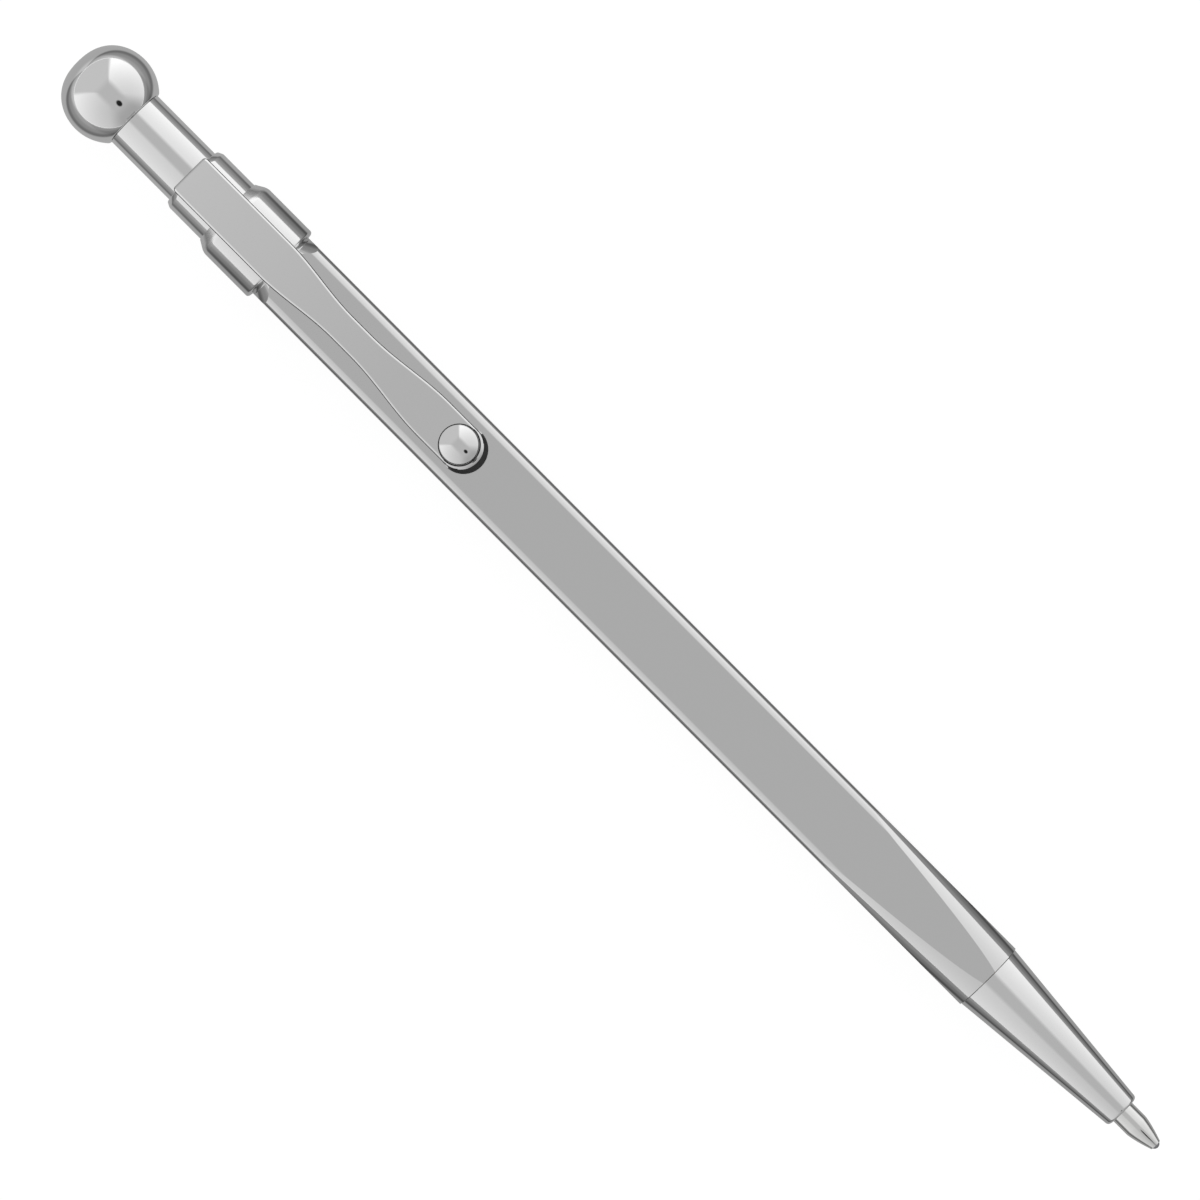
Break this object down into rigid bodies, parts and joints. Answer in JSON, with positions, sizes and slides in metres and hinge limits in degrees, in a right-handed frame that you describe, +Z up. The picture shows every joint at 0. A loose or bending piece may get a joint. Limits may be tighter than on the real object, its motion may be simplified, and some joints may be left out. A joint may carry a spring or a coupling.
{
  "type": "pocket ballpoint pen",
  "caption": "Slim all-metal click ballpoint pen: ball knob, rounded square barrel fading to round, waisted clip with a ball in its end, screwed nose cone and slim refill.",
  "frame": {"origin": "on the ground plane, below the middle of the pen's length, with the pen lying level and its clip up", "axes": "+X along the pen's axis from the ball knob to the tip, +Z up through the clip, +Y to the left when looking along +X"},
  "size_m": [0.137, 0.0088, 0.01],
  "materials": {
    "polished_metal": "mirror polished, plain",
    "brass": "turned",
    "spring_steel": "drawn wire",
    "nib_metal": "turned and polished",
    "carbide": "ground ball",
    "white_plastic": "moulded",
    "black_plastic": "moulded",
    "tube_plastic": "extruded tube",
    "ink": "ink paste, as a solid rod"
  },
  "bodies": {
    "case": {"barrel": "polished_metal", "head_bush": "polished_metal", "clip_band": "polished_metal", "guide_sleeve": "white_plastic", "front_bush": "brass"},
    "plunger": {"knob": "polished_metal", "knob_stud": "brass", "plunger_stem": "polished_metal", "thrust_cam": "white_plastic"},
    "refill": {"refill_end_plug": "white_plastic", "refill_tube": "tube_plastic", "ink_column": "ink", "tip_plug": "white_plastic", "nib": "nib_metal"},
    "rotor": {"rotor_cam": "black_plastic"},
    "ball": {"writing_ball": "carbide"},
    "nose_travel": {"return_spring": "spring_steel"},
    "nose": {"nose_cone": "polished_metal", "nose_insert": "brass"},
    "clip": {"clip": "polished_metal", "clip_ball": "polished_metal"}
  },
  "joints": [
    {"name": "knob_press", "type": "slide", "parent": "case", "child": "plunger", "axis": [1, 0, 0], "range_m": [-0.0054, 0.001], "stiffness_N_per_m": 200},
    {"name": "refill_slide", "type": "slide", "parent": "case", "child": "refill", "axis": [1, 0, 0], "range_m": [-0.0054, 0.001]},
    {"name": "rotor_turn", "type": "hinge", "parent": "refill", "child": "rotor", "pos_m": [-0.03562, 0, 0.0044], "axis": [1, 0, 0], "continuous": true},
    {"name": "writing_ball_roll", "type": "hinge", "parent": "refill", "child": "ball", "pos_m": [0.06808, 0, 0.0044], "axis": [0, 1, 0], "continuous": true},
    {"name": "nose_travel", "type": "slide", "parent": "case", "child": "nose_travel", "axis": [1, 0, 0], "range_m": [0, 0.00375], "deforming": ["return_spring"]},
    {"name": "nose_turn", "type": "hinge", "parent": "nose_travel", "child": "nose", "pos_m": [0.0469, 0, 0.0044], "axis": [1, 0, 0], "range_deg": [0, 1800.01]},
    {"name": "clip_flex", "type": "hinge", "parent": "case", "child": "clip", "pos_m": [-0.05417, 0, 0.00785], "axis": [0, -1, 0], "range_deg": [0, 2.5], "stiffness_Nm_per_rad": 3}
  ],
  "couplings": [
    {"joint": "refill_slide", "follows": "knob_press", "ratio": 1},
    {"joint": "nose_turn", "follows": "nose_travel", "rad_per_m": 8377.6}
  ]
}
